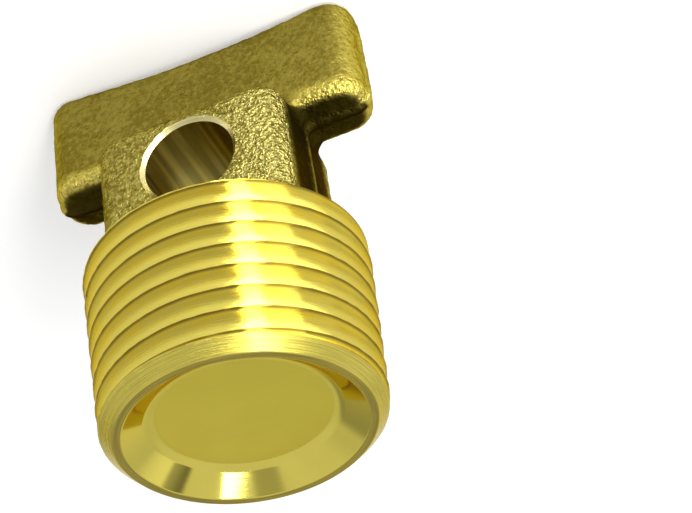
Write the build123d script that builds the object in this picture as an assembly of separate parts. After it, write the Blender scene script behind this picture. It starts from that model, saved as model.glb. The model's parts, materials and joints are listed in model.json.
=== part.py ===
"""Boat drain plug, one brass casting: a T handle with a cross hole and a tapered pipe thread.

It stands head down: the two ends of the handle bar rest on Z = 0 and the threaded end is on top.
X runs along the handle bar, Y through the cross hole. Millimetres.
"""

import os
from math import atan, degrees, radians, tan

from build123d import *

# Handle bar
BAR_LENGTH = 26.4
BAR_HEIGHT = 9.9
BAR_THICKNESS = 5.6
BAR_END_ROUND = 2.3
BAR_WING_ROUND = 1.1
BAR_TOP_ROUND = 0.8
BAR_DIP = 0.75
BAR_DIP_REACH = 10.6
BAR_DIP_EASE = 6.0

# Stem between the bar and the threaded end: how far it stands in from the thread's crest at the
# sides and at front and back, and how far it laps onto the bar
STEM_SIDE_STEP = 2.66
STEM_FACE_STEP = 4.51
STEM_LAP = 1.3
STEM_CORNER = 2.0
STEM_EDGE = 1.6
NECK_HEIGHT = 10.95
BLEND = 1.0
FOOT_BLEND = 0.7

# Cross hole, its centre measured from the bar
HOLE_RADIUS = 3.6
HOLE_FROM_BAR = 4.0
HOLE_CHAMFER = 0.28

# Ridge where the two halves of the mould met
SEAM_HEIGHT = 0.22
SEAM_WIDTH = 0.5
SEAM_FROM_TOP = 2.0

# Tapered pipe thread, half inch, 14 turns to the inch; the crest and root flats are shares of the pitch
PITCH = 25.4 / 14
TAPER = 1 / 32
CREST_RADIUS = 10.31
CREST_FLAT = 0.07
FLANK_ANGLE = 30.0
FLANK_DEPTH = 0.78
THREAD_DEPTH = 1.0
ROOT_FLAT = 0.13
THREAD_LENGTH = 14.3
THREAD_TURN = 40.0
END_CHAMFER = 0.95
BACK_CHAMFER = 0.3

# Flat rim around a shallow dish in the threaded end
RIM_WIDTH = 0.64
DISH_SLOPE = 1.9
DISH_DEPTH = 1.6

STEM_WIDTH = 2 * (CREST_RADIUS - STEM_SIDE_STEP)
STEM_THICKNESS = 2 * (CREST_RADIUS - STEM_FACE_STEP)
STEM_START = BAR_HEIGHT - STEM_LAP
HOLE_FROM_TOP = BAR_HEIGHT + HOLE_FROM_BAR
RIM_RADIUS = CREST_RADIUS - END_CHAMFER
DISH_RADIUS = RIM_RADIUS - RIM_WIDTH
SHOULDER = BAR_HEIGHT + NECK_HEIGHT
OVERALL = SHOULDER + THREAD_LENGTH
NEAR = 0.01


def turned(points):
    """Solid of revolution about Z from radius and height pairs."""
    return revolve(Plane.XZ * make_face(Polyline(*points, close=True)), Axis.Z)


def dip_end(edge):
    """True for an edge where the dip in the bar's top meets a pad."""
    return edge.center().Z < NEAR and abs(abs(edge.center().X) - BAR_DIP_REACH) < NEAR


def across(edge):
    """True for an edge that crosses the bar's top from front to back."""
    return abs(edge.tangent_at(0.5).Y) > 0.999 and abs(edge.center().X) < BAR_LENGTH / 2 - NEAR


def handle_bar():
    """Bar with rounded ends; its top dips between two flat pads."""
    bar = Pos(0, 0, BAR_HEIGHT / 2) * Box(BAR_LENGTH, BAR_THICKNESS, BAR_HEIGHT)
    bar = fillet(bar.edges().filter_by(Axis.Z), BAR_END_ROUND)
    arc = ThreePointArc((-BAR_DIP_REACH, 0), (0, BAR_DIP), (BAR_DIP_REACH, 0))
    below = Polyline((BAR_DIP_REACH, 0), (0, -BAR_DIP_REACH), (-BAR_DIP_REACH, 0))
    dip = make_face([*arc.edges(), *below.edges()])
    bar = bar - extrude(Plane.XZ * dip, amount=BAR_THICKNESS, both=True)
    bar = fillet(bar.edges().filter_by(Axis.Y).filter_by(dip_end), BAR_DIP_EASE)
    bar = fillet(bar.edges().filter_by(lambda e: e.center().Z > BAR_HEIGHT - NEAR), BAR_WING_ROUND)
    top = bar.faces().filter_by(lambda f: f.center().Z < BAR_DIP + NEAR and f.normal_at().Z < -0.9)
    return fillet(ShapeList(e for f in top for e in f.edges() if not across(e)), BAR_TOP_ROUND)


def stem():
    """Upright block with rounded front and back edges, running down into the threaded end."""
    half = STEM_WIDTH / 2
    low, high = STEM_START, SHOULDER + END_CHAMFER
    face = make_face(Polyline((-half, low), (-half, high), (half, high), (half, low), close=True))
    face = fillet(face.vertices().filter_by(lambda v: v.Y < SHOULDER), STEM_CORNER)
    block = extrude(Plane.XZ * face, amount=STEM_THICKNESS / 2, both=True)
    rims = block.edges().filter_by(lambda e: abs(e.center().Y) > STEM_THICKNESS / 2 - NEAR)
    return fillet(rims.filter_by(lambda e: e.center().Z < high - NEAR), STEM_EDGE)


def threaded_end():
    """Threaded body drawn with its free end on the XY plane."""
    crest = CREST_FLAT * PITCH / 2
    flank = crest + FLANK_DEPTH * tan(radians(FLANK_ANGLE))
    wide = (1 - ROOT_FLAT) * PITCH / 2
    root = CREST_RADIUS - THREAD_DEPTH
    low = -1.5 * PITCH
    high = THREAD_LENGTH + 1.5 * PITCH
    core = turned([
        (0, low - PITCH),
        (root + TAPER * (low - PITCH), low - PITCH),
        (root + TAPER * (high + PITCH), high + PITCH),
        (0, high + PITCH),
    ])
    slope = degrees(atan(TAPER))
    path = Helix(PITCH, high - low, root + TAPER * low, center=(0, 0, low), cone_angle=slope)
    buried = -0.25 * PITCH
    edge = [(buried, -wide), (0, -wide), (THREAD_DEPTH - FLANK_DEPTH, -flank), (THREAD_DEPTH, -crest)]
    section = Polyline(*edge, *[(r, -z) for r, z in reversed(edge)], close=True)
    place = Plane(origin=path @ 0, x_dir=(1, 0, 0), z_dir=(0, -1, 0))
    ridge = sweep(place * make_face(section), path=path, is_frenet=True)
    body = core + ridge
    clear = CREST_RADIUS + 2 * PITCH
    back = CREST_RADIUS + TAPER * THREAD_LENGTH - BACK_CHAMFER
    limit = turned([
        (0, 0),
        (RIM_RADIUS, 0),
        (clear, clear - RIM_RADIUS),
        (clear, THREAD_LENGTH - (clear - back)),
        (back, THREAD_LENGTH),
        (0, THREAD_LENGTH),
    ])
    dish = turned([
        (0, -PITCH),
        (DISH_RADIUS, -PITCH),
        (DISH_RADIUS, 0),
        (DISH_RADIUS - DISH_SLOPE, DISH_DEPTH),
        (0, DISH_DEPTH),
    ])
    return (body & limit) - dish


def cross_hole():
    """Cutter for the hole through the stem, with a bevel at each mouth."""
    half = STEM_THICKNESS / 2
    wide = HOLE_RADIUS + HOLE_CHAMFER
    cutter = turned([
        (0, -half - PITCH),
        (wide + PITCH, -half - PITCH),
        (HOLE_RADIUS, HOLE_CHAMFER - half),
        (HOLE_RADIUS, half - HOLE_CHAMFER),
        (wide + PITCH, half + PITCH),
        (0, half + PITCH),
    ])
    return Pos(0, 0, HOLE_FROM_TOP) * Rot(90, 0, 0) * cutter


def seam():
    """Thin plate a little larger than the handle's outline at its mid plane, clear of the bar's top."""
    end = BAR_LENGTH / 2 + SEAM_HEIGHT
    side = STEM_WIDTH / 2 + SEAM_HEIGHT
    wing = BAR_HEIGHT + SEAM_HEIGHT
    foot = SHOULDER + END_CHAMFER
    half = [(end, SEAM_FROM_TOP), (end, wing), (side, wing), (side, foot)]
    face = make_face(Polyline(*half, *[(-x, z) for x, z in reversed(half)], close=True))
    tips = face.vertices().filter_by(lambda v: abs(v.Y - wing) < NEAR)
    face = fillet(tips.filter_by(lambda v: abs(v.X) > BAR_LENGTH / 2), BAR_WING_ROUND + SEAM_HEIGHT)
    nooks = face.vertices().filter_by(lambda v: abs(v.Y - wing) < NEAR and abs(abs(v.X) - side) < NEAR)
    face = fillet(nooks, BLEND - SEAM_HEIGHT)
    return extrude(Plane.XZ * face, amount=SEAM_WIDTH / 2, both=True)


def joint(edge):
    """True for an edge where the stem runs into the bar."""
    at = edge.center()
    high = STEM_START - NEAR < at.Z < BAR_HEIGHT + NEAR
    return high and abs(at.X) < STEM_WIDTH / 2 + NEAR and abs(at.Y) < BAR_THICKNESS / 2 + NEAR


def foot(edge):
    """True for an edge where the stem stands on the shoulder of the threaded end."""
    at = edge.center()
    inside = abs(at.X) < STEM_WIDTH / 2 + NEAR and abs(at.Y) < STEM_THICKNESS / 2 + NEAR
    return inside and abs(at.Z - SHOULDER) < NEAR and edge.length < STEM_WIDTH


handle = handle_bar() + stem()
handle = fillet(handle.edges().filter_by(joint), BLEND)
plug = handle + Pos(0, 0, OVERALL) * Rot(180, 0, 0) * Rot(0, 0, THREAD_TURN) * threaded_end()
plug = fillet(plug.edges().filter_by(foot), FOOT_BLEND)
plug = plug + seam() - cross_hole()

os.makedirs("parts", exist_ok=True)
export_step(plug, "parts/drain_plug.step")
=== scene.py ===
"""Looks of a cast brass drain plug with a tapered pipe thread, laid out as an add-on and run as a script.

The plug stands head down. Lengths are metres, in the same frame as the solid model: X runs along the handle
bar, Y through the cross hole, and +Z from the bar to the threaded end.
"""

import json
import math

import bmesh
import bpy
from bpy.props import FloatProperty, FloatVectorProperty, IntProperty, PointerProperty
from mathutils import Euler, Matrix, Vector, noise


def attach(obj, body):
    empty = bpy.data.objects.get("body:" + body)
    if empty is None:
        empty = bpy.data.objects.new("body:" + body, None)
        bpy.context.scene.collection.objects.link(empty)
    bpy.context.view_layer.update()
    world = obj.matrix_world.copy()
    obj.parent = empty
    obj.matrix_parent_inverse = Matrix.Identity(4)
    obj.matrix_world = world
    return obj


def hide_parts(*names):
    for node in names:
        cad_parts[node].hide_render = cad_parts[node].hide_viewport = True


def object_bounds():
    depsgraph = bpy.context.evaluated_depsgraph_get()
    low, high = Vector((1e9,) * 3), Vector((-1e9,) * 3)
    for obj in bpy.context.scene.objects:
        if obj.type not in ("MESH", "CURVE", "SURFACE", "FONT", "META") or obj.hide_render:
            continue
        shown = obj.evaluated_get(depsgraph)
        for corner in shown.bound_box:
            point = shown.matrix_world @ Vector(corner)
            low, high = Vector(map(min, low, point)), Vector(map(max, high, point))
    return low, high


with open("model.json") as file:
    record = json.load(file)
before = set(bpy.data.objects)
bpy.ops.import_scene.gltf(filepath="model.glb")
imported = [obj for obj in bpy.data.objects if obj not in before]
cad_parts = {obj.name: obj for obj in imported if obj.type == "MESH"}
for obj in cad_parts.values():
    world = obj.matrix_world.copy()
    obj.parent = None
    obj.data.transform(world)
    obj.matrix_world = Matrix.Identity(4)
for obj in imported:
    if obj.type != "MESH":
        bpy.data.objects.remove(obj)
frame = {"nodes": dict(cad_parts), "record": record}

bl_info = {
    "name": "Cast brass drain plug",
    "version": (1, 0, 0),
    "blender": (4, 5, 0),
    "location": "View3D > Sidebar > Drain plug",
    "description": "Builds the looks of a cast and turned brass drain plug around its solid model",
    "category": "Object",
}

NODE = "drain_plug"
MM = 0.001
NEAR = 0.001 * MM

# The solid model's box and the places of its thread and its cross hole
CAD_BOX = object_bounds()
MOUNTS = {mount["name"]: mount for mount in frame["record"]["mounts"]}
TOP = MOUNTS["pipe_thread"]["pos_m"][2]
CREST_RADIUS = MOUNTS["pipe_thread"]["dims"]["r_mm"] * MM
THREAD_LENGTH = MOUNTS["pipe_thread"]["dims"]["length_mm"] * MM
HOLE_RADIUS = MOUNTS["cross_hole"]["dims"]["r_mm"] * MM
HOLE_LENGTH = MOUNTS["cross_hole"]["dims"]["length_mm"] * MM
HOLE_HEIGHT = MOUNTS["cross_hole"]["pos_m"][2]
SHOULDER = TOP - THREAD_LENGTH

# Meshing and modelling of the pieces
SPARE_TURNS = 2
GROOVE_STEPS = 14
ROUND_STEPS = 6
SMOOTH_ANGLE = math.radians(38)
FOOT_GAP = 0.02 * MM
FOOT_SHRINK = 0.85
BURR_SPACING = 0.7 * MM
BURR_SHIFT = Vector((7, 3, 5))
SKIN_PASSES = 2
GRAIN_SPACING = 0.55 * MM
SWELL_SPACING = 4.5 * MM

# Material numbers on the blank that the threaded end is turned to, where 0 is its chamfers
RIM_FACE = 1
WALL_FACE = 2
FLOOR_FACE = 3

# Where the cast skin changes, from start to end: distances from the axis along X or Y, and heights along Z
STEM_FACE_Y = (3.0 * MM, 4.4 * MM)
# The next two mark the stem's sides and corners, where the painted shade lies
STEM_SIDE_X = (6.7 * MM, 7.5 * MM)
STEM_CORNER_Y = (2.6 * MM, 4.8 * MM)
# Stretch along -X over which the stem's face turns to a painted highlight
STEM_HIGHLIGHT_X = (0.5 * MM, 6.0 * MM)
# The next four place the rubbed wear and painted highlight on the wings' lower edges and the bar's tips, and
# the bump there
WING_X = (7.6 * MM, 9.0 * MM)
WING_START_Z = (7.9 * MM, 8.9 * MM)
WING_END_Z = (9.6 * MM, 9.8 * MM)
BAR_TIP_X = (11.6 * MM, 12.8 * MM)
# Heights at which the painted shade on the stem's sides and under the wings starts
NOOK_SHADE_Z = (9.65 * MM, 9.85 * MM)
# Parting line on the stem's sides, left out of the painted shade so that it shows as a painted highlight
SEAM_X = (7.5 * MM, 7.7 * MM)
SEAM_Y = (0.10 * MM, 0.30 * MM)
SEAM_Z = (10 * MM, 12 * MM)

# Stretch over which the cross hole's wall turns brighter, as painted light on that side
BORE_LIGHT_X = (-0.5 * MM, 3.4 * MM)

# Shares of the way from one crest to the next, away from the free end, for the browner tone and the painted
# shadow under each crest
BROWN_FLANK = (0.10, 0.95)
LINE_START = (0.84, 0.94)
LINE_END = (0.975, 0.985)

# Tints of the reflections at grazing angles, and the roughness of the clear film
BRASS_TINT = (0.85, 0.70, 0.30, 1)
CAST_TINT = (0.35, 0.28, 0.08, 1)
COAT_ROUGHNESS = 0.15

# Stretches, as the sine of the elevation, over which the soft light falls off and comes back
BELT_FALL = (0.0, 0.45)
BELT_RISE = (0.55, 0.75)

# Darker places in the soft light: azimuth, elevation, spread in degrees, and depth, below 0 where lighter
FLAGS = (
    (154.6, 46.6, 10, 0.78),
    (-86, 66, 12, 0.42),
    (38, 10, 28, 0.40),
    (-168, 10, 28, -0.40),
    (150, 28, 26, -0.38),
)

# Share of such a place's spread that is at full depth
FLAG_CORE = 0.6

# Height of the lights that lie on the floor, in millimetres
LAMP_LIFT = 1

# Camera: place, turn, and focal length in pixels of a picture this wide
CAMERA_PLACE = Vector((-38.31, -104.19, 108.94)) * MM
CAMERA_TURN = Euler([math.radians(angle) for angle in (-51.212, -7.529, 158.374)])
FOCAL_PIXELS = 1906.65
PHOTO_WIDTH = 692
SENSOR_WIDTH = 36.0
CLIP_NEAR = 1 * MM
CLIP_FAR = 20.0


def length(title, text, default):
    """A size in metres that a user may change."""
    return FloatProperty(
        name=title, description=text, default=default, precision=5, subtype="DISTANCE", unit="LENGTH",
    )


def colour(title, text, default):
    """A linear colour that a user may change."""
    return FloatVectorProperty(
        name=title, description=text, default=default, size=3, min=0, max=1, subtype="COLOR",
    )


def amount(title, text, default):
    """A plain number that a user may change."""
    return FloatProperty(name=title, description=text, default=default)


def watts(title, text, default):
    """A light's power that a user may change."""
    return FloatProperty(name=title, description=text, default=default, precision=4, unit="POWER")


class PlugSizes(bpy.types.PropertyGroup):
    """Sizes of the turned end, the bore and the cast skin."""

    pitch: length("Pitch", "Distance from one crest to the next", 25.4 * MM / 14)
    groove_depth: length("Groove depth", "From crest to root", 0.55 * MM)
    groove_curve: amount("Groove curve", "Hollowness of the long flank: 1 for straight, more for round", 2.6)
    back_flank: amount("Back flank", "Share of the groove's width that the steep flank takes", 0.16)
    crest_flat: length("Crest flat", "Width of the flat on a crest", 0.11 * MM)
    burr: length("Burr", "How far a crest's edge wanders", 0.07 * MM)
    lead: length("Lead", "The groove starts this far below the end face, full at twice that", 0.65 * MM)
    taper: amount("Taper", "Growth of the crest's radius for each unit of length", 1 / 32)
    crest_start: FloatProperty(
        name="Crest start", description="Direction from +X in which a crest would meet the end face",
        default=math.radians(140), subtype="ANGLE", unit="ROTATION",
    )
    end_chamfer: length("End chamfer", "Chamfer at the free end", 0.95 * MM)
    back_chamfer: length("Back chamfer", "Chamfer at the shoulder", 0.3 * MM)
    rim_width: length("Rim width", "Flat rim around the dish", 0.64 * MM)
    dish_slope: length("Dish slope", "Run of the dish's wall", 1.9 * MM)
    dish_depth: length("Dish depth", "Depth of the dish", 1.6 * MM)
    dish_round: length("Dish round", "Rounding between the dish's floor and wall", 0.45 * MM)
    edge_break: length("Edge break", "Rounding of the turned edges", 0.07 * MM)
    hole_bevel: length("Hole bevel", "Bevel at each mouth of the cross hole", 0.28 * MM)
    skin_voxel: length("Skin voxel", "Spacing of the cast skin's mesh", 0.17 * MM)
    skin_grain: length("Skin grain", "Depth of the sand's grain in the cast skin", 0.05 * MM)
    skin_swell: length("Skin swell", "Depth of the cast skin's long waves", 0.10 * MM)
    turn_steps: IntProperty(name="Turn steps", description="Steps around one turn", default=240, min=24)


class PlugFinish(bpy.types.PropertyGroup):
    """Colours of the brass as cast and as turned."""

    cast: colour("Cast skin", "Olive skin of the casting", (0.28, 0.23, 0.043))
    cast_dark: colour("Cast hollows", "Hollows of the casting's grain", (0.185, 0.145, 0.023))
    # Also the colour of the painted highlight towards the stem's -X edge
    stem: colour("Stem", "Peaks of the grain on the stem", (0.74, 0.66, 0.21))
    # Rubbed wear and a painted highlight on the wings' lower edges and the bar's tips
    wear_and_highlight: colour("Worn edges", "Edges of the bar that hands have rubbed bright", (0.58, 0.48, 0.10))
    # Painted shade on the stem's sides and under the bar's wings
    painted_nook_shade: colour("Nooks", "Tarnish between the bar and the thread", (0.03, 0.022, 0.003))
    turned: colour("Turned brass", "Thread", (0.54, 0.465, 0.07))
    chamfer: colour("Chamfer", "Chamfer at the free end", (0.68, 0.57, 0.085))
    rim: colour("Rim", "Flat rim around the dish", (0.40, 0.32, 0.04))
    # Browner tone in patches up each flank towards the crest
    flank_brown: colour("Tarnish", "Upper part of the thread's flanks", (0.64, 0.46, 0.03))
    # Painted shadow under each crest's lip
    crest_shadow: colour("Grime", "Lines under the thread's crests", (0.14, 0.09, 0.008))
    polished: colour("Dish wall", "Polished wall of the dish", (0.73, 0.62, 0.105))
    dull: colour("Dish floor", "Dull floor of the dish", (0.63, 0.54, 0.085))
    bevel: colour("Bevel", "Bright bevel at the mouth of the cross hole", (0.82, 0.73, 0.32))
    bored: colour("Bored wall", "Wall of the cross hole", (0.84, 0.68, 0.19))


class PlugStage(bpy.types.PropertyGroup):
    """Floor and lights."""

    floor: colour("Floor", "Pale floor", (0.86, 0.86, 0.86))
    floor_size: length("Floor size", "Side of the square floor", 6.0)
    floor_glow: amount("Floor glow", "How far the floor is lifted towards white", 0.22)
    sky: amount("Sky", "Strength of the soft light around", 0.8)
    horizon: amount("Horizon", "Level of that light at the horizon and straight above", 1.0)
    belt: amount("Belt", "How far that light falls off between the horizon and half height", 0.16)
    low_power: watts("Low power", "Narrow light that lies on the floor", 0.064)
    card_power: watts("Card power", "Broad dim light that lies beside it", 0.036)
    tall_power: watts("Tall power", "Narrow light that stands behind it", 0.21)
    side_power: watts("Side power", "Broad dim light that stands beside that", 0.075)
    over_power: watts("Over power", "Small light above", 0.24)


class Wire:
    """One socket in a material; arithmetic on it adds Math nodes."""

    def __init__(self, sheet, socket):
        self.sheet = sheet
        self.socket = socket

    def math(self, operation, *values):
        """Math node on this wire and the values after it."""
        sockets = dict(enumerate((self, *values)))
        return self.sheet.add("ShaderNodeMath", {"operation": operation}, sockets)

    def __add__(self, other):
        return self.math("ADD", other)

    def __radd__(self, other):
        return self.math("ADD", other)

    def __sub__(self, other):
        return self.math("SUBTRACT", other)

    def __rsub__(self, other):
        return self.sheet.add("ShaderNodeMath", {"operation": "SUBTRACT"}, {0: other, 1: self})

    def __mul__(self, other):
        return self.math("MULTIPLY", other)

    def __rmul__(self, other):
        return self.math("MULTIPLY", other)

    def __truediv__(self, other):
        return self.math("DIVIDE", other)

    def __pow__(self, other):
        return self.math("POWER", other)

    def __mod__(self, other):
        return self.math("FLOORED_MODULO", other)

    def __abs__(self):
        return self.math("ABSOLUTE")

    def ramp(self, low, high):
        """0 below low, 1 above high and smooth between them."""
        return self.sheet.add(
            "ShaderNodeMapRange", {"interpolation_type": "SMOOTHSTEP"}, {0: self, 1: low, 2: high}
        )

    def most(self, limit):
        """This wire, but no more than limit."""
        return self.math("MINIMUM", limit)


class Sheet:
    """A material's nodes, written as expressions on its wires."""

    store = bpy.data.materials
    output = "ShaderNodeOutputMaterial"
    space = "Object"

    def __init__(self, name):
        self.made = self.store.new(name)
        self.made.use_nodes = True
        self.tree = self.made.node_tree
        self.tree.nodes.clear()
        self.at = self.add("ShaderNodeTexCoord", out=self.space)

    def add(self, kind, settings=None, sockets=None, out=0):
        """Adds a node, sets it up, feeds its sockets and gives one of its outputs."""
        node = self.tree.nodes.new(kind)
        for name, value in (settings or {}).items():
            setattr(node, name, value)
        for name, value in (sockets or {}).items():
            if isinstance(value, Wire):
                self.tree.links.new(value.socket, node.inputs[name])
            else:
                node.inputs[name].default_value = value
        return None if out is None else Wire(self, node.outputs[out])

    def axis(self, name):
        """X, Y or Z of the point being shaded."""
        return self.add("ShaderNodeSeparateXYZ", sockets={0: self.at}, out=name)

    def radius(self):
        """Distance from the thread's axis."""
        return (self.axis("X") ** 2 + self.axis("Y") ** 2) ** 0.5

    def speckle(self, size, detail=2.0, stretch=(1, 1, 1), at=None):
        """Noise whose lumps are about size across, stretched along the axes."""
        scale = [1 / (size * share) for share in stretch]
        mapped = self.add("ShaderNodeMapping", sockets={"Vector": at or self.at, "Scale": scale})
        return self.add("ShaderNodeTexNoise", sockets={"Vector": mapped, "Scale": 1.0, "Detail": detail})

    def blend(self, share, first, second):
        """Mix of two colours."""
        sockets = {
            0: share,
            6: first if isinstance(first, Wire) else (*first, 1),
            7: second if isinstance(second, Wire) else (*second, 1),
        }
        return self.add("ShaderNodeMix", {"data_type": "RGBA"}, sockets, out=2)

    def bump(self, height, depth):
        """Normal of a surface that stands out by height times depth."""
        return self.add("ShaderNodeBump", sockets={"Height": height, "Distance": depth, "Strength": 1.0})

    def brass(self, base, rough, normal, coat=0.0, tint=BRASS_TINT):
        """Finishes the material as metal under a thin clear film."""
        sockets = {
            "Base Color": base,
            "Roughness": rough,
            "Normal": normal,
            "Metallic": 1.0,
            "Specular Tint": tint,
            "Coat Weight": coat,
            "Coat Roughness": COAT_ROUGHNESS,
        }
        return self.close(self.add("ShaderNodeBsdfPrincipled", sockets=sockets))

    def close(self, shader):
        """Joins a shader to the output."""
        self.add(self.output, sockets={"Surface": shader}, out=None)
        return self.made


class Sky(Sheet):
    """The world's nodes, on the direction of the light."""

    store = bpy.data.worlds
    output = "ShaderNodeOutputWorld"
    space = "Generated"

    def near(self, azimuth, elevation, spread):
        """1 towards a direction, falling to 0 at spread degrees from it."""
        turn, rise = math.radians(azimuth), math.radians(elevation)
        toward = {
            "X": math.cos(turn) * math.cos(rise),
            "Y": math.sin(turn) * math.cos(rise),
            "Z": math.sin(rise),
        }
        facing = sum(self.axis(name) * share for name, share in toward.items())
        return facing.ramp(math.cos(math.radians(spread)), math.cos(math.radians(spread * FLAG_CORE)))


def darker(tint, share):
    """A colour taken down to a share of its level."""
    return [channel * share for channel in tint]


def cast_skin(finish):
    """Sand-cast skin: olive, pebbled on the stem with a painted highlight towards its -X edge, rubbed bright
    with a painted highlight on the wings' lower edges and the bar's tips, and painted shade on the stem's
    sides and under the wings.
    """
    sheet = Sheet("cast_skin")
    along = sheet.axis("X")
    beside = abs(along)
    before = abs(sheet.axis("Y"))
    height = sheet.axis("Z")
    grain = sheet.speckle(0.44 * MM, 1.0) * 0.55 + sheet.speckle(0.20 * MM, 1.0) * 0.45
    patch = sheet.speckle(4 * MM, 3.0)
    wing = height.ramp(*WING_START_Z) * (1.0 - height.ramp(*WING_END_Z)) * beside.ramp(*WING_X)
    tip = beside.ramp(*BAR_TIP_X) * 0.75
    # Rubbed wear and painted highlight on the wings' lower edges and the bar's tips
    wear_and_highlight = ((wing + tip) * (0.45 + 0.55 * grain.ramp(0.32, 0.60))).most(1.0)
    # Parting line down the stem's sides: a painted highlight, by leaving it out of the painted shade
    seam_highlight = beside.ramp(*SEAM_X) * (1.0 - before.ramp(*SEAM_Y)) * height.ramp(*SEAM_Z)
    # Painted shade on the stem's sides and under the wings, mottled, and kept off the parting line
    side = beside.ramp(*STEM_SIDE_X) * (1.0 - before.ramp(*STEM_CORNER_Y))
    mottle = 0.45 + 0.75 * patch + 0.25 * grain
    painted_nook_shade = (side * height.ramp(*NOOK_SHADE_Z) * (1.0 - seam_highlight) * mottle).most(0.95)
    # Stem's face: pebbled, and lighter towards -X as a painted highlight
    stem_face_and_highlight = before.ramp(*STEM_FACE_Y) * (0.3 + 0.7 * (0.0 - along).ramp(*STEM_HIGHLIGHT_X))
    pebbles = 0.25 + 0.75 * grain.ramp(0.38, 0.64)
    clouds = (grain * 0.6 + patch * 0.4).ramp(0.41, 0.59)
    light = sheet.blend(stem_face_and_highlight, finish.cast, finish.stem)
    base = sheet.blend(stem_face_and_highlight * pebbles + (1.0 - stem_face_and_highlight) * clouds, finish.cast_dark, light)
    base = sheet.blend(wear_and_highlight, base, finish.wear_and_highlight)
    base = sheet.blend(painted_nook_shade, base, finish.painted_nook_shade)
    rough = 0.46 - 0.21 * stem_face_and_highlight - 0.14 * wear_and_highlight + 0.12 * (patch - 0.5)
    normal = sheet.bump(grain * (0.7 + 4.0 * stem_face_and_highlight + 0.8 * wing), 0.20 * MM)
    return sheet.brass(base, rough, normal, tint=CAST_TINT)


def turned_skin(finish, sizes):
    """Thread as cut: bright and smooth, browner in patches up each flank towards the crest, with a painted
    shadow line under each crest.
    """
    sheet = Sheet("turned_skin")
    lines = sheet.speckle(1.0 * MM, 2.0, stretch=(2.5, 2.5, 0.05))
    patch = sheet.speckle(3 * MM, 2.0)
    stain = sheet.speckle(1.0 * MM, 2.0, stretch=(2.2, 2.2, 0.7))
    around = sheet.axis("Y").math("ARCTAN2", sheet.axis("X"))
    turns = (TOP - sheet.axis("Z")) / sizes.pitch + (around - sizes.crest_start) / math.tau
    flank = (turns + 0.02 * (patch - 0.5)) % 1.0
    # Browner tone up each flank, in patches
    upper = flank.ramp(*BROWN_FLANK)
    # Painted shadow line under each crest
    under = flank.ramp(*LINE_START) * (1.0 - flank.ramp(*LINE_END))
    base = sheet.blend(lines.ramp(0.3, 0.7) * 0.3, finish.turned, darker(finish.turned, 0.8))
    base = sheet.blend(upper * (1.9 * stain - 0.1), base, finish.flank_brown)
    base = sheet.blend(under * 0.85, base, finish.crest_shadow)
    normal = sheet.bump(lines, 0.012 * MM)
    return sheet.brass(base, 0.10 + 0.07 * patch, normal, coat=0.6 - 0.4 * upper)


def faced_skin(name, tint, depth):
    """Turned with a broad tool: rings of fine lines, pressed in by depth."""
    sheet = Sheet(name)
    across = sheet.radius() - sheet.axis("Z")
    spot = sheet.add("ShaderNodeCombineXYZ", sockets={0: sheet.axis("X"), 1: sheet.axis("Y"), 2: across})
    lines = sheet.speckle(1.0 * MM, 3.0, stretch=(5, 5, 0.10), at=spot)
    base = sheet.blend(lines.ramp(0.38, 0.62) * 0.75, tint, darker(tint, 0.62))
    return sheet.brass(base, 0.22 + 0.12 * lines, sheet.bump(lines, depth), coat=0.5)


def polished_skin(finish):
    """Wall of the dish: nearly a mirror."""
    sheet = Sheet("polished_skin")
    lines = sheet.speckle(1.0 * MM, 2.0, stretch=(3, 3, 0.08))
    patch = sheet.speckle(4 * MM, 2.0)
    base = sheet.blend(patch.ramp(0.3, 0.7) * 0.3, finish.polished, darker(finish.polished, 0.8))
    return sheet.brass(base, 0.06 + 0.05 * patch, sheet.bump(lines, 0.0015 * MM), coat=0.25)


def dull_skin(finish):
    """Floor of the dish: even and dull."""
    sheet = Sheet("dull_skin")
    fine = sheet.speckle(0.2 * MM, 3.0)
    patch = sheet.speckle(5 * MM, 2.0)
    base = sheet.blend(patch.ramp(0.3, 0.7) * 0.3, finish.dull, darker(finish.dull, 0.86))
    return sheet.brass(base, 0.48 + 0.08 * fine, sheet.bump(fine, 0.012 * MM))


def bored_skin(finish):
    """Wall of the cross hole: marks along its axis in bump and roughness, painted reflection stripes along
    it, and painted light towards +X.
    """
    sheet = Sheet("bored_skin")
    marks_and_reflections = sheet.speckle(1.0 * MM, 1.0, stretch=(0.8, 16, 0.8))
    lit = sheet.axis("X").ramp(*BORE_LIGHT_X)
    # Painted reflection stripes along the bore, and painted light towards +X
    share = marks_and_reflections.ramp(0.38, 0.68) * (0.25 + 0.35 * lit) + lit * 0.4
    base = sheet.blend(share, darker(finish.bored, 0.16), finish.bored)
    return sheet.brass(base, 0.28 + 0.10 * marks_and_reflections, sheet.bump(marks_and_reflections, 0.03 * MM))


def place(name, bm, *materials):
    """Makes an object of a bmesh."""
    mesh = bpy.data.meshes.new(name)
    bm.to_mesh(mesh)
    bm.free()
    for material in materials:
        mesh.materials.append(material)
    made = bpy.data.objects.new(name, mesh)
    bpy.context.scene.collection.objects.link(made)
    return made


def settle(made):
    """Turns an object's modifiers into its mesh."""
    bpy.context.view_layer.update()
    graph = bpy.context.evaluated_depsgraph_get()
    mesh = bpy.data.meshes.new_from_object(made.evaluated_get(graph))
    made.modifiers.clear()
    spent = made.data
    made.data = mesh
    bpy.data.meshes.remove(spent)
    if not mesh.polygons:
        raise RuntimeError(f"nothing is left of {made.name}")
    return made


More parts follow.
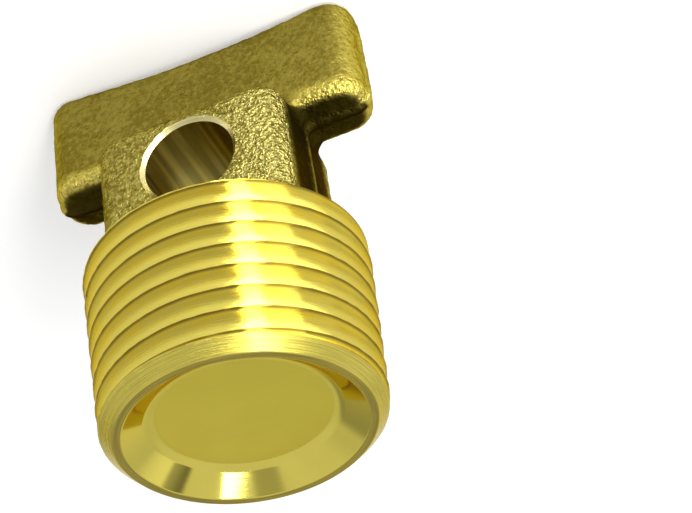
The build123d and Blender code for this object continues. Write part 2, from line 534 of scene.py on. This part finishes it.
def carve(made, tool, operation):
    """Joins, cuts or trims an object by another, which is used up."""
    modifier = made.modifiers.new(operation, "BOOLEAN")
    modifier.operation = operation
    modifier.solver = "MANIFOLD"
    modifier.material_mode = "TRANSFER"
    modifier.object = tool
    before = len(made.data.polygons)
    settle(made)
    if len(made.data.polygons) == before:
        raise RuntimeError(f"{operation} of {made.name} by {tool.name} changed nothing")
    bpy.data.objects.remove(tool)
    return made


def everything(bm):
    """All of a bmesh's vertices, edges and faces."""
    return [*bm.verts, *bm.edges, *bm.faces]


def only(kind, geometry):
    """The elements of one kind in what an operator gives back."""
    return [element for element in geometry if isinstance(element, kind)]


def chain(bm, points):
    """Open outline in the XZ plane from radius and height pairs; gives its vertices."""
    verts = [bm.verts.new((radius, 0, height)) for radius, height in points]
    for pair in zip(verts, verts[1:]):
        bm.edges.new(pair)
    return verts


def lathe(points, steps, soften=None):
    """Closed solid of revolution; soften gives the rounding of some of the outline's points."""
    bm = bmesh.new()
    verts = chain(bm, points)
    for spot, offset in (soften or {}).items():
        bmesh.ops.bevel(
            bm, geom=[verts[spot]], offset=offset, offset_type="OFFSET", affect="VERTICES",
            segments=ROUND_STEPS, profile=0.5, material=-1,
        )
    bmesh.ops.spin(
        bm, geom=[*bm.verts, *bm.edges], cent=(0, 0, 0), axis=(0, 0, 1), angle=math.tau, steps=steps,
        use_merge=True,
    )
    bmesh.ops.remove_doubles(bm, verts=bm.verts, dist=NEAR)
    bmesh.ops.recalc_face_normals(bm, faces=bm.faces)
    return bm


def groove_outline(sizes, start):
    """One turn's outline: crest flat, long hollow flank, steep flank back to the next crest."""
    groove = (sizes.pitch - sizes.crest_flat) * (1 - sizes.back_flank)
    points = [(CREST_RADIUS, start)]
    for step in range(GROOVE_STEPS + 1):
        share = step / GROOVE_STEPS
        depth = sizes.groove_depth * (1 - (1 - share) ** sizes.groove_curve)
        points.append((CREST_RADIUS - depth, start + sizes.crest_flat + groove * share))
    points.append((CREST_RADIUS, start + sizes.pitch))
    return points


def thread_body(sizes):
    """Threaded rod, longer than the plug's thread at both ends; its groove runs out near the end face."""
    bm = bmesh.new()
    turns = math.ceil(THREAD_LENGTH / sizes.pitch) + 2 * SPARE_TURNS
    below_top = sizes.crest_start / math.tau + turns - SPARE_TURNS
    start = TOP - sizes.pitch * below_top - sizes.crest_flat / 2
    chain(bm, groove_outline(sizes, start))
    bmesh.ops.spin(
        bm, geom=[*bm.verts, *bm.edges], cent=(0, 0, 0), axis=(0, 0, 1), angle=math.tau,
        steps=sizes.turn_steps, dvec=(0, 0, sizes.pitch / sizes.turn_steps),
    )
    first = everything(bm)
    for turn in range(1, turns):
        copy = bmesh.ops.duplicate(bm, geom=first)["geom"]
        moved = only(bmesh.types.BMVert, copy)
        bmesh.ops.translate(bm, verts=moved, vec=(0, 0, sizes.pitch * turn))
    bmesh.ops.remove_doubles(bm, verts=bm.verts, dist=NEAR)
    for vert in bm.verts:
        radius = math.hypot(vert.co.x, vert.co.y)
        depth = CREST_RADIUS - radius
        below = TOP - vert.co.z
        run_out = min(max(below / sizes.lead - 1, 0), 1)
        grown = CREST_RADIUS - depth * run_out + sizes.taper * below
        if depth < NEAR:
            spot = vert.co / BURR_SPACING
            grown -= sizes.burr * (0.5 + 0.5 * noise.noise(spot))
            vert.co.z += sizes.burr * noise.noise(spot + BURR_SHIFT)
        vert.co.x *= grown / radius
        vert.co.y *= grown / radius
    for height, side in ((TOP + sizes.pitch, 1), (SHOULDER - sizes.pitch, -1)):
        cut = bmesh.ops.bisect_plane(
            bm, geom=everything(bm), plane_co=(0, 0, height), plane_no=(0, 0, side), clear_outer=True,
        )
        bmesh.ops.edgeloop_fill(bm, edges=only(bmesh.types.BMEdge, cut["geom_cut"]))
    bmesh.ops.recalc_face_normals(bm, faces=bm.faces)
    return bm


def end_limits(sizes):
    """Blank that the rod is turned to: chamfers, rim, and the dish's wall and floor."""
    rim = CREST_RADIUS - sizes.end_chamfer
    dish = rim - sizes.rim_width
    floor = TOP - sizes.dish_depth
    back = CREST_RADIUS + sizes.taper * THREAD_LENGTH - sizes.back_chamfer
    clear = CREST_RADIUS + 2 * sizes.pitch
    points = [
        (0, floor),
        (dish - sizes.dish_slope, floor),
        (dish, TOP),
        (rim, TOP),
        (clear, TOP - clear + rim),
        (clear, SHOULDER + clear - back),
        (back, SHOULDER),
        (0, SHOULDER),
    ]
    # Rounded are the foot and the lip of the dish's wall and the rim's outer edge
    rounds = {1: sizes.dish_round, 2: sizes.edge_break, 3: sizes.edge_break}
    bm = lathe(points, sizes.turn_steps, rounds)
    for face in bm.faces:
        middle = face.calc_center_median()
        if middle.z > TOP - NEAR:
            face.material_index = RIM_FACE
        elif abs(middle.z - floor) < NEAR:
            face.material_index = FLOOR_FACE
        elif middle.z > floor and math.hypot(middle.x, middle.y) < dish:
            face.material_index = WALL_FACE
    return bm


def threaded_end(sizes, finish):
    """The turned end, from the shoulder to the rim."""
    chamfer = faced_skin("chamfer_skin", finish.chamfer, 0.05 * MM)
    rim = faced_skin("rim_skin", finish.rim, 0.01 * MM)
    made = place("threaded_end", thread_body(sizes), turned_skin(finish, sizes))
    limits = place("limits", end_limits(sizes), chamfer, rim, polished_skin(finish), dull_skin(finish))
    return carve(made, limits, "INTERSECT")


def handle_copy(sizes):
    """Bar and stem of the solid model, the hole stopped up and the foot sunk into the threaded end."""
    bm = bmesh.new()
    bm.from_mesh(frame["nodes"][NODE].data)
    bmesh.ops.remove_doubles(bm, verts=bm.verts, dist=NEAR)
    cut = bmesh.ops.bisect_plane(
        bm, geom=everything(bm), plane_co=(0, 0, SHOULDER - FOOT_GAP), plane_no=(0, 0, 1), clear_outer=True,
    )
    sunk = bmesh.ops.extrude_edge_only(bm, edges=only(bmesh.types.BMEdge, cut["geom_cut"]))["geom"]
    corners = only(bmesh.types.BMVert, sunk)
    bmesh.ops.scale(bm, verts=corners, vec=(FOOT_SHRINK, FOOT_SHRINK, 1))
    bmesh.ops.translate(bm, verts=corners, vec=(0, 0, sizes.pitch))
    bmesh.ops.edgeloop_fill(bm, edges=only(bmesh.types.BMEdge, sunk))
    mouth = HOLE_RADIUS + sizes.hole_bevel + NEAR

    def bored(face):
        """True for a face of the hole's wall or bevels."""
        return all(math.hypot(v.co.x, v.co.z - HOLE_HEIGHT) < mouth for v in face.verts)

    bmesh.ops.delete(bm, geom=[f for f in bm.faces if bored(f)], context="FACES")
    bmesh.ops.edgeloop_fill(bm, edges=[e for e in bm.edges if e.is_boundary])
    bmesh.ops.recalc_face_normals(bm, faces=bm.faces)
    return bm


def roughen(mesh, sizes):
    """Presses the sand's grain and the casting's long waves into a mesh, inwards only."""
    bm = bmesh.new()
    bm.from_mesh(mesh)
    for _ in range(SKIN_PASSES):
        bmesh.ops.smooth_vert(
            bm, verts=bm.verts, factor=0.5, use_axis_x=True, use_axis_y=True, use_axis_z=True,
        )
    bm.normal_update()
    moves = []
    for vert in bm.verts:
        grain = noise.turbulence(vert.co / GRAIN_SPACING, 2, False)
        swell = 0.5 + 0.5 * noise.noise(vert.co / SWELL_SPACING)
        moves.append(-vert.normal * (sizes.skin_grain * grain + sizes.skin_swell * swell))
    for vert, move in zip(bm.verts, moves):
        vert.co += move
        vert.co.z = max(vert.co.z, CAD_BOX[0].z)
    bm.to_mesh(mesh)
    bm.free()


def bore_cutter(sizes):
    """Cutter for the cross hole; its materials are the wall and the bevels."""
    half = HOLE_LENGTH / 2 - sizes.skin_swell
    wide = sizes.hole_bevel + sizes.pitch
    points = [
        (0, -half - wide),
        (HOLE_RADIUS + wide, -half - wide),
        (HOLE_RADIUS, -half),
        (HOLE_RADIUS, half),
        (HOLE_RADIUS + wide, half + wide),
        (0, half + wide),
    ]
    bm = lathe(points, sizes.turn_steps)
    for face in bm.faces:
        face.material_index = int(abs(face.calc_center_median().z) > half)
    bm.transform(Matrix.Translation((0, 0, HOLE_HEIGHT)) @ Matrix.Rotation(math.pi / 2, 4, "X"))
    return bm


def cast_handle(sizes, finish):
    """The cast bar and stem with the bored hole."""
    made = place("cast_handle", handle_copy(sizes), cast_skin(finish))
    remesh = made.modifiers.new("skin", "REMESH")
    remesh.mode = "VOXEL"
    remesh.voxel_size = sizes.skin_voxel
    settle(made)
    roughen(made.data, sizes)
    bevel = faced_skin("bevel_skin", finish.bevel, 0.01 * MM)
    return carve(made, place("bore", bore_cutter(sizes), bored_skin(finish), bevel), "DIFFERENCE")


def lay_floor(stage):
    """Pale floor that shows white to the camera and to the metal, and keeps the plug's shadow."""
    sheet = Sheet("pale_floor")
    rays = ("Is Camera Ray", "Is Glossy Ray", "Is Transmission Ray")
    shown = sum(sheet.add("ShaderNodeLightPath", out=ray) for ray in rays).most(1.0)
    paint = sheet.add("ShaderNodeBsdfDiffuse", sockets={"Color": (*stage.floor, 1)})
    glow = sheet.add("ShaderNodeEmission", sockets={"Color": shown * stage.floor_glow})
    material = sheet.close(sheet.add("ShaderNodeAddShader", sockets={0: paint, 1: glow}))
    bm = bmesh.new()
    bmesh.ops.create_grid(bm, x_segments=1, y_segments=1, size=stage.floor_size / 2)
    bmesh.ops.translate(bm, verts=bm.verts, vec=(0, 0, CAD_BOX[0].z))
    place("floor", bm, material)


def lamp(name, spot, aim, width, height, power):
    """Area light with its middle at spot, facing aim; all in millimetres."""
    away = Vector(aim) - Vector(spot)
    data = bpy.data.lights.new(name, "AREA")
    data.shape = "RECTANGLE"
    data.size = width * MM
    data.size_y = height * MM
    data.energy = power
    made = bpy.data.objects.new(name, data)
    made.location = Vector(spot) * MM
    made.rotation_euler = away.to_track_quat("-Z", "Y").to_euler()
    made.visible_camera = False
    bpy.context.scene.collection.objects.link(made)
    return made


def floor_lamp(name, azimuth, near, far, width, power):
    """Area light that lies on the floor, facing up, and runs away from the plug."""
    turn = math.radians(azimuth)
    reach = (near + far) / 2
    spot = Vector((reach * math.cos(turn), reach * math.sin(turn), LAMP_LIFT))
    made = lamp(name, spot, spot + Vector((0, 0, 1)), width, far - near, power)
    made.rotation_euler = (math.pi, 0, turn + math.pi / 2)


def light_up(stage):
    """Soft light from all around with a few darker and lighter places, and five area lights.

    Two lights lie on the floor on the camera's right, two stand behind those, and a small one is above.
    """
    sky = Sky("studio")
    up = sky.axis("Z")
    level = stage.horizon - stage.belt * (up.ramp(*BELT_FALL) - up.ramp(*BELT_RISE))
    for azimuth, elevation, spread, depth in FLAGS:
        level = level - depth * sky.near(azimuth, elevation, spread)
    light = sky.add("ShaderNodeBackground", sockets={"Color": level, "Strength": stage.sky})
    bpy.context.scene.world = sky.close(light)
    floor_lamp("low_strip", azimuth=-126, near=38, far=158, width=24, power=stage.low_power)
    floor_lamp("low_card", azimuth=-150, near=32, far=152, width=60, power=stage.card_power)
    lamp("tall_strip", (-96, -128, 130), (0, 0, 130), width=40, height=260, power=stage.tall_power)
    lamp("tall_card", (-140, -88, 100), (0, 0, 100), width=80, height=200, power=stage.side_power)
    lamp("over", (-104, -86, 286), (0, 0, 17.6), width=84, height=110, power=stage.over_power)


def stand_camera():
    """Camera at the photograph's viewing angle; it is turned over, so the threaded end is below."""
    data = bpy.data.cameras.new("camera")
    data.sensor_width = SENSOR_WIDTH
    data.lens = FOCAL_PIXELS / PHOTO_WIDTH * SENSOR_WIDTH
    data.clip_start = CLIP_NEAR
    data.clip_end = CLIP_FAR
    made = bpy.data.objects.new("camera", data)
    made.location = CAMERA_PLACE
    made.rotation_euler = CAMERA_TURN
    bpy.context.scene.collection.objects.link(made)
    bpy.context.scene.camera = made
    bpy.context.scene.view_settings.view_transform = "Standard"


class MakePlug(bpy.types.Operator):
    """Makes the plug: cast handle, turned thread and bored hole in one mesh"""

    bl_idname = "drain_plug.make_plug"
    bl_label = "Make the plug"

    def execute(self, context):
        """Builds the handle and the threaded end, joins them and lets them stand for the solid."""
        sizes = context.scene.plug_sizes
        finish = context.scene.plug_finish
        plug = carve(cast_handle(sizes, finish), threaded_end(sizes, finish), "UNION")
        plug.name = "brass_plug"
        plug.data.polygons.foreach_set("use_smooth", [True] * len(plug.data.polygons))
        plug.data.set_sharp_from_angle(angle=SMOOTH_ANGLE)
        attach(plug, "root")
        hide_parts(NODE)
        return {"FINISHED"}


class SetStage(bpy.types.Operator):
    """Lays the floor, lights the plug and stands the camera where the photograph was taken"""

    bl_idname = "drain_plug.set_stage"
    bl_label = "Set the stage"

    def execute(self, context):
        """Makes the floor, the lights and the camera."""
        stage = context.scene.plug_stage
        lay_floor(stage)
        light_up(stage)
        stand_camera()
        return {"FINISHED"}


class PlugPanel(bpy.types.Panel):
    """Sidebar panel with the plug's sizes, finish and stage"""

    bl_idname = "VIEW3D_PT_drain_plug"
    bl_label = "Drain plug"
    bl_space_type = "VIEW_3D"
    bl_region_type = "UI"
    bl_category = "Drain plug"

    def draw(self, context):
        """Lists each group of properties, with its operator below it."""
        for group, operator in (("plug_finish", None), ("plug_sizes", MakePlug), ("plug_stage", SetStage)):
            box = self.layout.box()
            held = getattr(context.scene, group)
            for name in held.bl_rna.properties.keys():
                if name not in {"rna_type", "name"}:
                    box.prop(held, name)
            if operator:
                box.operator(operator.bl_idname)


CLASSES = (PlugSizes, PlugFinish, PlugStage, MakePlug, SetStage, PlugPanel)
GROUPS = {"plug_sizes": PlugSizes, "plug_finish": PlugFinish, "plug_stage": PlugStage}


def register():
    """Registers the classes and hangs the property groups on the scene."""
    for kind in CLASSES:
        bpy.utils.register_class(kind)
    for name, kind in GROUPS.items():
        setattr(bpy.types.Scene, name, PointerProperty(type=kind))


def unregister():
    """Takes the property groups off the scene and the classes out again."""
    for name in GROUPS:
        delattr(bpy.types.Scene, name)
    for kind in reversed(CLASSES):
        bpy.utils.unregister_class(kind)


def main():
    """Makes the plug and its stage."""
    register()
    bpy.ops.drain_plug.make_plug()
    bpy.ops.drain_plug.set_stage()


if __name__ == "__main__":
    main()
